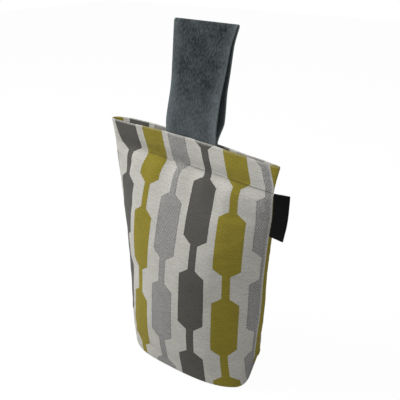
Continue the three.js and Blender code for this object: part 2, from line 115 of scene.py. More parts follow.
# %% [markdown]
# ### Level sections
# Cut level, each panel is half of a rounded lens. Sewn cloth hardly stretches, so every
# section has the same length of cloth round it, and the bag is widest where it is
# thinnest. The width can't be written down as a formula. It is found by halving a range
# until the cloth from end to end is as long as the panel is wide.
# Above the crease the hem flares out, and near the floor the filling spreads the cloth.

# %% Roundness and spread of the sections
FLARE, SPREAD, SPREAD_HEIGHT = 20.0, 15.0, 40.0
outline_power = smooth_curve([
    (0, 3.8), (0.1 * CREASE, 2.6), (0.4 * CREASE, 1.8), (0.8 * CREASE, 3.3),
    (CREASE, 3.6), (TOP, 4.6)])
outline_root = smooth_curve([
    (0, 0.38), (0.1 * CREASE, 0.46), (0.4 * CREASE, 0.61), (0.8 * CREASE, 0.77),
    (CREASE, 0.7), (TOP, 0.5)])


def up_flange(height):
    return min(1.0, max(0.0, (height - CREASE) / FLANGE))


print("roundness at half height:", round(outline_power(0.5 * CREASE), 2))

# %% One level section
SECTION_STEPS, HALVINGS = 160, 30
sections = {}


def trace(half, depth, power, root):
    """Points (x, y, cloth passed) of half a lens, from its left end to its right end."""
    points, along = [], 0.0
    for i in range(SECTION_STEPS + 1):
        x = -half * math.cos(math.pi * i / SECTION_STEPS)
        y = depth * max(0.0, 1 - abs(x / half) ** power) ** root
        if points:
            along += math.hypot(x - points[-1][0], y - points[-1][1])
        points.append((x, y, along))
    return points


def section_at(height):
    """The section's points, the cloth's length, half the width and half the depth."""
    key = round(height, 3)
    if key in sections:
        return sections[key]
    depth, power, root = half_depth(height), outline_power(height), outline_root(height)
    foot = max(0.0, 1 - height / SPREAD_HEIGHT)
    span = PANEL + 0.5 * (FLARE * up_flange(height) + SPREAD * foot ** 2)
    low, high = 0.3 * PANEL, 0.5 * span
    for _ in range(HALVINGS):
        middle = 0.5 * (low + high)
        if trace(middle, depth, power, root)[-1][2] > span:
            high = middle
        else:
            low = middle
    sections[key] = (trace(low, depth, power, root), span, low, depth)
    return sections[key]


print("width at the base and the crease:",
      [round(2 * section_at(height)[2], 1) for height in (0, CREASE)])


# %% A point round a section
def round_section(section, distance):
    """A point of the section, at a distance round it from its left end."""
    points, span = section[0], section[1]
    wrapped = distance % (2 * span)
    front = wrapped <= span
    along = wrapped if front else 2 * span - wrapped
    low, high = 0, len(points) - 1
    while high - low > 1:
        middle = (low + high) // 2
        if points[middle][2] <= along:
            low = middle
        else:
            high = middle
    gap = points[high][2] - points[low][2]
    t = min(1.0, (along - points[low][2]) / gap) if gap else 0.0
    x = points[low][0] + t * (points[high][0] - points[low][0])
    y = points[low][1] + t * (points[high][1] - points[low][1])
    return x, (-y if front else y)


print("middle of the front at half height:",
      round_section(section_at(0.5 * CREASE), 0.5 * PANEL))

# %% [markdown]
# ### Distance up the cloth
# The cloth turns up from the base in a small round and climbs a curved wall, so a
# distance up the cloth is longer than the height it reaches. The print is measured on the
# cloth, the shape by height. A table made once gives one from the other.

# %% Distance up the cloth
BASE_ROUND, CLIMB_STEP = 5.3, 0.5
TURN = 0.5 * math.pi * BASE_ROUND
climb = [(TURN, BASE_ROUND)]
while climb[-1][1] < TOP:
    reached = min(climb[-1][1] + CLIMB_STEP, TOP)
    inward = half_depth(reached) - half_depth(climb[-1][1])
    climb.append((climb[-1][0] + math.hypot(reached - climb[-1][1], inward), reached))
CLOTH_TOP = climb[-1][0]


def height_at(cloth):
    if cloth <= TURN:
        return BASE_ROUND * (1 - math.cos(max(0.0, cloth) / BASE_ROUND))
    i = 1
    while i + 1 < len(climb) and climb[i][0] < cloth:
        i += 1
    t = min(1.0, (cloth - climb[i - 1][0]) / (climb[i][0] - climb[i - 1][0]))
    return climb[i - 1][1] + t * (climb[i][1] - climb[i - 1][1])


def cloth_at(height):
    return next(cloth for cloth, reached in climb if reached >= height)


CLOTH_CREASE = cloth_at(CREASE)
print("cloth up to the crease and the top edge:", round(CLOTH_CREASE, 1), round(CLOTH_TOP, 1))

# %% [markdown]
# ### Gathers
# Cloth gathered into a seam makes soft folds that start in the crease and die out below
# it. They are two waves across the panel here, out of step with each other so that no two
# folds are alike. The cloth simulation further down adds finer ones of its own.

# %% Gathers below the crease
PUCKER_DEPTH, PUCKER_PITCH, PUCKER_REACH = 1.1, 31.0, 46.0
WIDER_PITCH = 1.63 * PUCKER_PITCH


def pucker(front, across, cloth):
    below = (CLOTH_CREASE - cloth) / PUCKER_REACH
    ends = math.sqrt(max(0.0, math.sin(math.pi * across / PANEL)))
    phase = 0.6 if front else 2.4
    wave = math.sin(math.tau * across / PUCKER_PITCH + phase)
    wave += 0.6 * math.sin(math.tau * across / WIDER_PITCH + 2 * phase)
    strength = 0.0
    if 0 < below < 1:
        strength = math.sin(math.pi * below ** 0.55) * (1 - 0.5 * below)
    elif below <= 0:
        strength = 0.35 * (cloth - CLOTH_CREASE) / (CLOTH_TOP - CLOTH_CREASE)
    return PUCKER_DEPTH * strength * wave * ends


print("a gather 10 mm below the crease:", round(pucker(True, 100, CLOTH_CREASE - 10), 2), "mm")

# %% [markdown]
# ### Base corners
# The seam ends in a corner at each end of the base. The weight of the sand doesn't reach
# into it, so the corner lifts off the floor, tucks in and tapers. The right one, which
# faces the camera, also sits further back and is turned. Its sizes are the scene's own, by
# comparing its outline with the photograph's, and so is how far both corners reach.

# %% Lift, tuck and turn of a base corner
LEFT_TAPER, RIGHT_TAPER, TAPER_HEIGHT = 12.0, 0.8, 48.0
LEFT_LIFT, RIGHT_LIFT = 5.0, 15.4
LEFT_TUCK, RIGHT_TUCK, CORNER_DEPTH, CORNER_REACH = 13.0, 6.4, 31.7, 21.3
RIGHT_BACK, RIGHT_TURN = 6.0, 11.7


def near_floor(height):
    return max(0.0, 1 - height / TAPER_HEIGHT) ** 2


def base_corner(height, sx, sy, half, depth):
    """How far the corner's cloth moves from the plain section."""
    low = near_floor(height)
    outward, lift, tuck = (1, RIGHT_LIFT, RIGHT_TUCK) if sx > 0 else (-1, LEFT_LIFT, LEFT_TUCK)
    end = max(0.0, (abs(sx) - (half - CORNER_REACH)) / CORNER_REACH)
    share = end * low * max(0.0, 1 - abs(sy) / CORNER_DEPTH)
    turned = low * max(0.0, sx / half) ** 2
    return (-outward * tuck * share - RIGHT_TURN * turned * sy / depth,
            RIGHT_BACK * turned, lift * share)


print("the right corner's tip moves", base_corner(0, 50, 0, 50, BASE_DEPTH))


# %% [markdown]
# ### Side seams
# The two panels' edges make a fine ridge down each side, and beside it the back swells
# out a little, so that its cloth shows past the seam.

# %% Ridge and swell at the side seams
SEAM_RIDGE, RIDGE_WIDTH, SEAM_SWELL, SWELL_WIDTH = 0.9, 1.6, 1.8, 26.0


def seam_bulge(front, height, to_seam, inset):
    bulge = 0.0 if inset else SEAM_RIDGE * max(0.0, 1 - to_seam / RIDGE_WIDTH)
    if not front and height < CREASE and to_seam < SWELL_WIDTH:
        swell = math.sqrt(math.sin(math.pi * height / CREASE))
        bulge += SEAM_SWELL * swell * math.sin(math.pi * to_seam / SWELL_WIDTH)
    return bulge


print("the seam stands out", seam_bulge(True, 0.5 * CREASE, 0, 0), "mm")


# %% [markdown]
# ### The whole bag
# One function puts a place on the flat cloth where it lies on the bag. The right seam isn't
# at the end of the bag: it is shifted over the front, most of all at the top. The bag
# leans forward and is twisted a little, as it was stood down. Three forms are the
# scene's own: the crease is pushed forward at its right end, the back lip stands about a
# millimetre higher on the left, and the seam's shift is larger on the body.

# %% Lean, twist and lips
LEAN, TWIST = 12.3, math.radians(-6.6)
RISE, LOPSIDED = 4.0, 0.46
CREASE_FORWARD, FORWARD_REACH = 4.5, 34.0
seam_shift = smooth_curve([
    (0, 0.6), (0.3 * CREASE, 2.5), (0.8 * CREASE, 3), (CREASE, 1.2), (TOP, 11)])


def lip_rise(front, part):
    """The share of the rise along a lip. The back one is highest left of its middle."""
    bow = math.sin(math.pi * part)
    return bow if front else part * (bow + 0.45 * math.sqrt(abs(bow)))


def crease_push(height, sx, half):
    below = min(1.0, max(0.0, (CREASE - height) / FORWARD_REACH))
    near = 1 - up_flange(height) if height > CREASE else 1 - below * below * (3 - 2 * below)
    return CREASE_FORWARD * near * (0.5 + 0.5 * sx / half)


print("the middle of the back lip rises", round(RISE * lip_rise(False, 0.5), 1), "mm")

# %% Where a point of the cloth lies on the bag
def on_bag(front, across, cloth, inset=0.0):
    height, part = height_at(cloth), across / PANEL
    section = section_at(max(height, 0.5 * BASE_ROUND))
    _, span, half, depth = section
    shift = seam_shift(height)
    distance = part * (span - shift) if front else span - shift + part * (span + shift)
    sx, sy = round_section(section, distance)
    outward, away = math.copysign(1.0, sx), -1 if front else 1
    taper = near_floor(height) * (RIGHT_TAPER if sx > 0 else LEFT_TAPER)
    tucked = 1 - math.sin(max(0.0, cloth) / BASE_ROUND) if cloth < TURN else 0.0
    opened = 1 - LOPSIDED * up_flange(height) * sx / half
    x = sx * (half - taper - inset) / half
    x += outward * seam_bulge(front, height, min(across, PANEL - across), inset)
    y = sy * (opened * depth - tucked * BASE_ROUND - inset) / depth
    y += away * pucker(front, across, cloth) * (0.9 if inset else 1)
    y -= crease_push(height, sx, half)
    z = height + RISE * up_flange(height) * lip_rise(front, part)
    moved = base_corner(height, sx, sy, half, depth)
    x, y, z = x + moved[0], y + moved[1], z + moved[2]
    cos, sin = math.cos(TWIST * height / TOP), math.sin(TWIST * height / TOP)
    return Vector((x * cos - y * sin, x * sin + y * cos - LEAN * height / TOP, z))


print("middle of the front's top edge:", on_bag(True, 0.5 * PANEL, CLOTH_TOP))

# %% [markdown]
# ## The cover
# Each panel starts as a flat grid, as it was cut. Every point of it is then moved to its
# place on the bag, and its flat place is kept as a UV map in metres. So the print follows
# every fold, which a print projected onto a finished shape doesn't.
# The rows run from the middle of the base, up the panel, over the folded hem and down
# into the slot. They stand closer where the cloth bends more.

# %% Rows of the cloth
HEM = 1.9
HEM_RADIUS = 0.5 * HEM
CROWN = CLOTH_TOP - HEM_RADIUS
BELOW_CREASE, ABOVE_CREASE, ROW_GAP, FLANGE_ROWS = 9, 5.4, 2.7, 8
near_crease = (-7, -5.3, -3.8, -2.5, -1.4, -0.6, 0, 0.6, 1.4, 2.5, 3.8, ABOVE_CREASE)
body, flange = CLOTH_CREASE - BELOW_CREASE - TURN, CROWN - CLOTH_CREASE - ABOVE_CREASE
body_rows = round(body / ROW_GAP)
wall = [0.0, 1.4, 2.9, 4.3, 5.8, 7.2, TURN]
wall += [TURN + body * i / body_rows for i in range(1, body_rows + 1)]
wall += [CLOTH_CREASE + d for d in near_crease]
wall += [CROWN - flange + flange * i / FLANGE_ROWS for i in range(1, FLANGE_ROWS + 1)]
rows = [("base", t) for t in (1, 0.8, 0.6, 0.4, 0.2, 0.08)]
rows += [("wall", cloth) for cloth in wall]
rows += [("crown", t) for t in (0.2, 0.4, 0.6, 0.8, 1)]
rows += [("inner", t) for t in (0.12, 0.3, 0.5, 0.75, 1)]
rows += [("floor", t) for t in (0.5, 1)]
ACROSS = 96
print(len(rows), "rows of", ACROSS + 1, "points on each panel")

# %% Place one point of the cover
SLOT_DEPTH = 13.0


def cover_point(front, across, row):
    """A point of the cover, and how far up the cloth it is."""
    kind, t = row
    if kind == "base":
        foot = on_bag(front, across, 0)
        other = on_bag(not front, PANEL - across, 0)
        return foot.lerp(0.5 * (foot + other), t), -0.5 * t * (foot - other).length
    if kind == "wall":
        return on_bag(front, across, t), t
    if kind == "crown":
        angle = math.pi * t
        point = on_bag(front, across, CROWN, HEM_RADIUS * (1 - math.cos(angle)))
        point.z += HEM_RADIUS * math.sin(angle)
        return point, CROWN + HEM_RADIUS * angle
    down = t * SLOT_DEPTH if kind == "inner" else SLOT_DEPTH
    point = on_bag(front, across, CROWN - down, HEM)
    if kind == "floor":
        other = on_bag(not front, PANEL - across, CROWN - down, HEM)
        point = point.lerp(0.5 * (point + other), t)
    return point, CROWN + math.pi * HEM_RADIUS + down


print("front of the base's middle:", cover_point(True, 0.5 * PANEL, ("wall", 0.0))[0])

# %% [markdown]
# ### Where the print lies
# On the real bag the seam cuts the print at a slant, and the gathers near the top edge
# draw its lines a few millimetres to and fro, as does the turned base corner. The shape
# can't show that, so the print itself is drawn aside there. The distances come from
# comparing the print's edges with the photograph.

# %% Which line of the print lies at a place
GATHER_BELOW, GATHER_FULL = 16, 25
CORNER_DRAW, DRAW_START, DRAW_WIDTH = 5, 110, 50
rim_gather = smooth_curve([
    (0, 2), (10, 2.5), (30, -0.5), (44, -5), (56, -6.4), (86, -6), (110, -1.5), (152, -3),
    (178, -1.2), (192, 1.9), (200, 1.4)])
back_gather = smooth_curve([(0, 0), (120, 0), (155, 8), (200, 8)])


def print_at(front, across, cloth):
    above = cloth - CLOTH_CREASE + GATHER_BELOW
    gathered = min(1.0, max(0.0, above / GATHER_FULL))
    if not front:
        return across + gathered * back_gather(across)
    height = height_at(min(max(cloth, 0.0), CLOTH_TOP))
    span = section_at(max(height, 0.5 * BASE_ROUND))[1]
    smooth = across * (span - seam_shift(height)) / span
    drawn = min(1.0, max(0.0, (across - DRAW_START) / DRAW_WIDTH))
    smooth += CORNER_DRAW * near_floor(height) * drawn
    return smooth + gathered * (across + rim_gather(across) - smooth)


print("the seam at the top edge lies on the print's line", print_at(True, PANEL, CLOTH_TOP))

# %% [markdown]
# ### Laying the panels
# The front and back grids meet in the seams, under the base and in the slot, where doubled
# points are merged, so the cover is one closed skin. Two values are kept for each point:
# how firmly it is held when the cloth is pressed out, and its distance to the seam.

# %% Lay both panels on the bag
BACK_U = 0.3
SEAM_FREE, SEAM_HELD = 5.0, 1.2


def ramp_up(value, start, width):
    return min(1.0, max(0.0, (value - start) / width))


bm = bmesh.new()
cloth_uv = bm.loops.layers.uv.new("cloth")
held_layer = bm.verts.layers.float.new("held")
seam_layer = bm.verts.layers.float.new("to_seam")
for front in (True, False):
    made = bmesh.ops.create_grid(bm, x_segments=ACROSS, y_segments=len(rows) - 1, size=1)
    places = {}
    for vert in made["verts"]:
        row = rows[round(0.5 * (vert.co.y + 1) * (len(rows) - 1))]
        t = 0.5 * (vert.co.x + 1)
        # Points stand closer together near the seams.
        across = PANEL * (t - 0.06 * math.sin(math.tau * t))
        point, cloth = cover_point(front, across, row)
        places[vert] = (print_at(front, across, cloth) * MM + (0 if front else BACK_U),
                        cloth * MM)
        to_seam = min(across, PANEL - across)
        free = ramp_up(CLOTH_CREASE - cloth, 1.5, 5) * ramp_up(cloth, 8, 14)
        vert[held_layer] = 1 - free * ramp_up(to_seam, SEAM_HELD, SEAM_FREE)
        vert[seam_layer] = to_seam
        vert.co = point * MM
    for face in {face for vert in places for face in vert.link_faces}:
        for loop in face.loops:
            loop[cloth_uv].uv = places[loop.vert]
print("cover:", len(bm.verts), "points")

# %% Close the cover and keep it as an object
bmesh.ops.remove_doubles(bm, verts=bm.verts, dist=0.05 * MM)
open_edges = [edge for edge in bm.edges if len(edge.link_faces) != 2]
held = [vert[held_layer] for vert in bm.verts]
cover_mesh = bpy.data.meshes.new("cover")
bm.to_mesh(cover_mesh)
bm.free()
cover = bpy.data.objects.new("cover", cover_mesh)
bpy.context.scene.collection.objects.link(cover)
cover_mesh.attributes.remove(cover_mesh.attributes["held"])
cover_mesh.shade_smooth()
print("after merging:", len(cover_mesh.vertices), "points,", len(open_edges), "open edges")

# %% [markdown]
# ## Filling the bag
# Sand and fibre press on the cloth from inside, and the cloth is held by its seams, the
# crease and the base. A cloth simulation does the same: slightly too much cloth, a little
# pressure from inside, and the sewn lines pinned. It gives the small slack folds that a
# smooth formula doesn't have. The modifier is read once and taken away again, and each
# step is eased so that no point moves as far as 1.6 mm.

# %% Press the cloth out
SIM_FRAMES, SIM_LIMIT, SLACK, PRESSURE = 20, 1.6, 0.008, 1.5


def fill_out(piece, weights):
    start = [vert.co.copy() for vert in piece.data.vertices]
    group = piece.vertex_groups.new(name="held")
    for i, weight in enumerate(weights):
        group.add([i], weight, "REPLACE")
    filling = piece.modifiers.new("filling", "CLOTH")
    settings = filling.settings
    settings.quality = 6
    settings.mass = 0.25
    settings.tension_stiffness = settings.compression_stiffness = 30
    settings.shear_stiffness = 12
    settings.bending_stiffness = 0.6
    settings.tension_damping = settings.compression_damping = settings.shear_damping = 12
    settings.air_damping = 4
    settings.use_pressure = True
    settings.uniform_pressure_force = PRESSURE
    settings.shrink_min = settings.shrink_max = -SLACK
    settings.vertex_group_mass = "held"
    settings.pin_stiffness = 1
    settings.effector_weights.gravity = 0
    filling.collision_settings.use_collision = False
    filling.point_cache.frame_start = 1
    filling.point_cache.frame_end = SIM_FRAMES
    for number in range(1, SIM_FRAMES + 1):
        bpy.context.scene.frame_set(number)
    moved = piece.evaluated_get(bpy.context.evaluated_depsgraph_get()).data
    ends = [vert.co.copy() for vert in moved.vertices]
    piece.modifiers.remove(filling)
    piece.vertex_groups.remove(group)
    bpy.context.scene.frame_set(1)
    limit, farthest = SIM_LIMIT * MM, 0.0
    for vert, was, now in zip(piece.data.vertices, start, ends):
        step = now - was
        farthest = max(farthest, step.length)
        vert.co = was + step * (limit / (limit + step.length))
    return farthest


print("cloth wanted to move at most", round(fill_out(cover, held) / MM, 1), "mm")

# %% [markdown]
# Subdivision rounds off the small flats between the points. One level is enough from here.

# %% Round off the cover
smooth = cover.modifiers.new("fine_cloth", "SUBSURF")
smooth.levels = smooth.render_levels = 1
print("one level of subdivision on", len(cover_mesh.polygons), "faces")

# %% [markdown]
# ## Helpers for materials
# Colours are written as they are picked from a screen, in hex, and Blender shades with
# linear values, so one function turns one into the other. Another adds a node with its
# settings and links. Sockets are given by number: a MapRange takes its value as 0, the
# range it comes from as 1 and 2, and the range it goes to as 3 and 4.

# %% Colour and node helpers
def linear(hex_colour):
    channels = [int(hex_colour[i:i + 2], 16) / 255 for i in (1, 3, 5)]
    low = [c / 12.92 if c <= 0.04045 else ((c + 0.055) / 1.055) ** 2.4 for c in channels]
    return (*low, 1.0)


def add(tree, kind, inputs, output=0, **settings):
    """Add a node, set or link its inputs by name or number, and give one output."""
    node = tree.nodes.new("ShaderNode" + kind)
    for name, value in settings.items():
        setattr(node, name, value)
    for name, value in inputs.items():
        if isinstance(value, bpy.types.NodeSocket):
            tree.links.new(value, node.inputs[name])
        else:
            node.inputs[name].default_value = value
    return node.outputs[output] if node.outputs else None


def new_material(name):
    material = bpy.data.materials.new(name)
    material.use_nodes = True
    tree = material.node_tree
    tree.nodes.clear()
    surface = add(tree, "BsdfPrincipled", {})
    add(tree, "OutputMaterial", {0: surface})
    return material, tree, surface.node


print("mid grey #808080 is", round(linear("#808080")[0], 3), "in linear light")

# %% [markdown]
# ## The printed cotton
# A woven furnishing cotton, cream, with chains of long six-sided beads on thin bars, in
# charcoal, ochre and grey in turn. An image of the print would be fixed in size and
# detail. Here the pattern is arithmetic on the flat cloth instead: which chain a point is
# in, how far it is from the chain's middle line, and how wide the chain is there.

# %% Where a point lies on the flat cloth
cotton, tree, shader = new_material("woven_cotton")
flat = add(tree, "VectorMath", {0: add(tree, "UVMap", {}, uv_map="cloth"), 3: 1 / MM},
           operation="SCALE")
place = add(tree, "SeparateXYZ", {0: flat})
cloth = place.node.outputs[1]
back = add(tree, "Math", {0: place, 1: 0.5 * (PANEL + BACK_U / MM)},
           operation="GREATER_THAN")
across = add(tree, "Math", {0: back, 1: -BACK_U / MM, 2: place}, operation="MULTIPLY_ADD")
seam_away = add(tree, "Attribute", {}, output=2, attribute_name="to_seam")
print("the back panel's print starts at", BACK_U / MM, "mm in the map")

# %% [markdown]
# The chains are numbered from the panel's left side. Every other one is moved up or down
# by a step, so that beads of neighbouring chains don't line up. Colour ramps with flat
# bands, each an eighth wide, hold the steps and the colours: a ramp works as a list that
# a shader can look up.

# %% Which chain a point is in
PITCH, REPEAT, FIRST_BEAD, STEP = 34.4, 91.8, 76.5, 25.0
FIRST_CHAIN = {"front": 25.7, "back": 4.0}
STEPS = {"front": [1, 0, -1, 0, 1, 0, 1, 0], "back": [0, 1, 0, 1, 0, -1, 0, 1]}
first = add(tree, "Math", {0: back, 1: FIRST_CHAIN["back"] - FIRST_CHAIN["front"],
                           2: FIRST_CHAIN["front"]}, operation="MULTIPLY_ADD")
from_first = add(tree, "Math", {0: across, 1: first}, operation="SUBTRACT")
chain = add(tree, "Math", {0: add(tree, "Math", {0: from_first, 1: PITCH},
                                  operation="DIVIDE")}, operation="ROUND")
chain_key = add(tree, "MapRange", {0: chain, 1: -1.5, 2: 6.5})
steps = {side: add(tree, "ValToRGB", {0: chain_key}) for side in STEPS}
step = add(tree, "Mix", {0: back, 6: steps["front"], 7: steps["back"]}, output=2,
           data_type="RGBA")
lowest = add(tree, "MapRange", {0: step, 1: 0.25, 2: 0.75, 3: FIRST_BEAD - STEP,
                                4: FIRST_BEAD + STEP})
print("the print repeats every", REPEAT, "mm up and every", 3 * PITCH, "mm across")

# %% How far inside the chain
BEAD_HALF, BAR_HALF, BEAD_SIDE, SHOULDER = 13.2, 3.9, 52.7, 6.8
from_bead = add(tree, "Math", {0: cloth, 1: lowest}, operation="SUBTRACT")
along = add(tree, "Math", {0: from_bead, 1: 0.5 * REPEAT}, operation="PINGPONG")
aside = add(tree, "Math", {0: from_first, 1: 0.5 * PITCH}, operation="PINGPONG")
half_width = add(tree, "MapRange", {0: along, 1: 0.5 * BEAD_SIDE,
                                    2: 0.5 * BEAD_SIDE + SHOULDER, 3: BEAD_HALF, 4: BAR_HALF})
inside = add(tree, "Math", {0: half_width, 1: aside}, operation="SUBTRACT")
fuzz = add(tree, "TexNoise", {"Vector": flat, "Scale": 1.1, "Detail": 2.0})
uneven = add(tree, "MapRange", {0: fuzz, 1: 0.25, 2: 0.75, 3: -0.3, 4: 0.3})
edge = add(tree, "Math", {0: inside, 1: uneven}, operation="ADD")
printed = add(tree, "MapRange", {0: edge, 1: -0.2, 2: 0.2})
print("beads", 2 * BEAD_HALF, "mm and bars", 2 * BAR_HALF, "mm wide")

# %% Colour of the chain
CREAM, CHARCOAL, OCHRE, GREY = "#cbc9c1", "#5c5a56", "#958830", "#9f9e9c"
turn = add(tree, "Math", {0: chain, 1: back}, operation="ADD")
turn = add(tree, "Math", {0: turn, 1: 3.0}, operation="FLOORED_MODULO")
chain_colour = add(tree, "ValToRGB", {0: add(tree, "MapRange", {0: turn, 1: -0.5, 2: 7.5})})
is_ochre = add(tree, "Math", {0: turn, 1: 1.0, 2: 0.5}, operation="COMPARE")
is_grey = add(tree, "Math", {0: turn, 1: 1.5}, operation="GREATER_THAN")
field = add(tree, "Mix", {0: printed, 6: linear(CREAM), 7: chain_colour}, output=2,
            data_type="RGBA")
print("cream", CREAM, "charcoal", CHARCOAL, "ochre", OCHRE, "grey", GREY)

# %% [markdown]
# ### Threads
# The cloth has fine ribs all over, and the grey chains are a diagonal twill, which catches
# the light in its own way. Real threads in this cloth are about 0.5 mm apart, too fine to
# show from here, so the ribs are drawn 2.1 mm apart and the twill 2.5. Thick places in
# the thread, slubs, run along the ribs. A noise about 1.6 mm coarse stands for the uneven
# colour of single threads.

# %% Ribs, twill and slubs
RIB, TWILL = 2.1, 2.5
rib = add(tree, "Math", {0: add(tree, "Math", {0: cloth, 1: math.tau / RIB},
                                operation="MULTIPLY")}, operation="SINE")
warp = add(tree, "Math", {0: add(tree, "Math", {0: across, 1: math.tau / RIB},
                                 operation="MULTIPLY")}, operation="SINE")
plain = add(tree, "Math", {0: rib, 1: warp}, operation="MULTIPLY")
slant = add(tree, "Math", {0: cloth, 1: 0.8, 2: across}, operation="MULTIPLY_ADD")
slant = add(tree, "Math", {0: uneven, 1: 2.6, 2: slant}, operation="MULTIPLY_ADD")
twill = add(tree, "Math", {0: add(tree, "Math", {0: slant, 1: math.tau / TWILL},
                                  operation="MULTIPLY")}, operation="SINE")
in_grey = add(tree, "Math", {0: is_grey, 1: printed}, operation="MULTIPLY")
twilled = add(tree, "Math", {0: twill, 1: in_grey}, operation="MULTIPLY")
stretched = add(tree, "Mapping", {"Vector": flat, "Scale": (0.09, 0.75, 1)})
slub = add(tree, "TexNoise", {"Vector": stretched, "Scale": 1.0, "Detail": 3.0})
grain = add(tree, "TexNoise", {"Vector": flat, "Scale": 0.62, "Detail": 3.0,
                               "Roughness": 0.7})
mottle = add(tree, "TexNoise", {"Vector": flat, "Scale": 0.05, "Detail": 4.0})
print("ribs", RIB, "mm apart, twill", TWILL, "mm")

# %% Light and dark from the threads
shade = add(tree, "MapRange", {0: mottle, 1: 0.3, 2: 0.7, 3: 0.95, 4: 1.05})
for part, amount in ((plain, 0.04), (rib, 0.04), (twilled, 0.33)):
    shade = add(tree, "Math", {0: part, 1: amount, 2: shade}, operation="MULTIPLY_ADD")
for noise_part, amount in ((slub, 0.45), (grain, 0.8)):
    centred = add(tree, "Math", {0: noise_part, 1: 0.5}, operation="SUBTRACT")
    shade = add(tree, "Math", {0: centred, 1: amount, 2: shade}, operation="MULTIPLY_ADD")
# A thin dark line follows the edges of the charcoal and grey chains.
rim_line = add(tree, "MapRange", {0: edge, 1: 0.3, 2: 1.6, 3: 0.2, 4: 0.0})
not_ochre = add(tree, "Math", {0: printed, 1: is_ochre}, operation="SUBTRACT", use_clamp=True)
dark_line = add(tree, "Math", {0: rim_line, 1: not_ochre}, operation="MULTIPLY")
shade = add(tree, "Math", {0: shade, 1: dark_line}, operation="SUBTRACT")
colour = add(tree, "VectorMath", {0: field, 3: shade}, operation="SCALE")
print("the shade follows six patterns and the chains' edges")

# %% [markdown]
# ### Worn hem with a painted highlight, and frayed seam
# The fold of the hem is paler, partly rubbed and partly a painted highlight where the fold
# faces the light, and the front panel's raw edge shows as a broken pale line along the right
# seam. Both are masks over distances that are known exactly, broken up by the grain, because
# wear is never even.

# %% Worn hem and painted highlight on its fold
on_crown = add(tree, "MapRange", {0: cloth, 1: CROWN - 1.2, 2: CROWN + 0.3})
past_crown = add(tree, "MapRange", {0: cloth, 1: CROWN + 2.4, 2: CROWN + 3.2, 3: 1.0, 4: 0.0})
# The pale fold is wear and a painted highlight, weaker on the ochre chains.
worn_and_highlit = add(tree, "Math", {0: on_crown, 1: past_crown}, operation="MULTIPLY")
patchy = add(tree, "MapRange", {0: grain, 1: 0.35, 2: 0.65, 3: 0.25, 4: 0.75})
less_on_ochre = add(tree, "MapRange", {0: is_ochre, 3: 1.0, 4: 0.3})
for mask in (patchy, less_on_ochre):
    worn_and_highlit = add(tree, "Math", {0: worn_and_highlit, 1: mask}, operation="MULTIPLY")
colour = add(tree, "Mix", {0: worn_and_highlit, 6: colour, 7: linear("#d8d5cd")}, output=2,
             data_type="RGBA")
print("the hem is worn from", round(CROWN - 1.2, 1), "to", round(CROWN + 3.2, 1), "mm up")

# %% Frayed seam
FRAY_START, FRAY_FULL = 1.5, 0.7
wavy = add(tree, "Math", {0: uneven, 1: 3.0, 2: seam_away}, operation="MULTIPLY_ADD")
frayed = add(tree, "MapRange", {0: wavy, 1: FRAY_START, 2: FRAY_FULL})
on_front = add(tree, "Math", {0: 1.0, 1: back}, operation="SUBTRACT")
right_half = add(tree, "Math", {0: across, 1: 0.5 * PANEL}, operation="GREATER_THAN")
for mask in (on_front, right_half, patchy, 1.3):
    frayed = add(tree, "Math", {0: frayed, 1: mask}, operation="MULTIPLY")
colour = add(tree, "Mix", {0: frayed, 6: colour, 7: linear("#dcd9d4")}, output=2,
             data_type="RGBA")
print("the seam frays", FRAY_START, "mm wide")

# %% [markdown]
# ### Dark line along the crease
# A row of stitches closes the bag in the crease. Along it the cloth is drawn darker, and
# a ramp across the panel sets how dark in each eighth. Modelled
# threads would hardly be seen, so the line is a colour and a small hollow.

# %% Darker line along the crease
CREASE_LINE_SHOWN = (0, 0, 0.35, 0, 0.4, 0.2, 0.45, 0.5)
from_crease = add(tree, "Math", {0: cloth, 1: CLOTH_CREASE}, operation="SUBTRACT")
from_crease = add(tree, "Math", {0: from_crease}, operation="ABSOLUTE")
crease_line = add(tree, "MapRange", {0: from_crease, 1: 0.8, 2: 0.3})
between = add(tree, "ValToRGB", {0: add(tree, "MapRange", {0: across, 2: PANEL})})
crease_line = add(tree, "Math", {0: crease_line, 1: between}, operation="MULTIPLY")
colour = add(tree, "Mix", {0: crease_line, 6: colour, 7: linear("#2e2d2b")}, output=2,
             data_type="RGBA")
print("stitches", round(CLOTH_CREASE, 1), "mm up the cloth")

# %% Flat bands of the four ramps
bands = [(chain_colour, [linear(CHARCOAL), linear(OCHRE), linear(GREY)]),
         (between, [(shown,) * 3 + (1,) for shown in CREASE_LINE_SHOWN])]
bands += [(steps[side], [(0.5 + 0.25 * up,) * 3 + (1,) for up in STEPS[side]])
          for side in STEPS]
for looked_up, colours in bands:
    ramp = looked_up.node.color_ramp
    ramp.interpolation = "CONSTANT"
    while len(ramp.elements) < len(colours):
        ramp.elements.new(1.0)
    for i, band_colour in enumerate(colours):
        ramp.elements[i].position = i / 8
        ramp.elements[i].color = band_colour
print("bands in the ramps:", [len(colours) for _, colours in bands])

# %% [markdown]
# ### Painted shadow at the floor, and finish
# A painted shadow darkens the cloth up to 1.5 mm above the floor, a dark line where the bag
# meets it, so it is a colour by height. Raw cotton thread scatters light evenly: it is
# rough, with little shine and a trace of fuzz, and the weave gives it a fine relief.

# %% Painted shadow where the bag meets the floor
height = add(tree, "SeparateXYZ", {0: add(tree, "TexCoord", {}, output=3)}, output=2)
# Painted contact shadow: the cloth turns dark within 1.5 mm of the floor.
floor_shadow = add(tree, "MapRange", {0: height, 1: 1.5 * MM, 2: 0.7 * MM})
colour = add(tree, "Mix", {0: floor_shadow, 6: colour, 7: linear("#383735")}, output=2,
             data_type="RGBA")
tree.links.new(colour, shader.inputs["Base Color"])
# The dark cloth printed below is this painted shadow.
print("the base's dark cloth shows up to 1.5 mm")

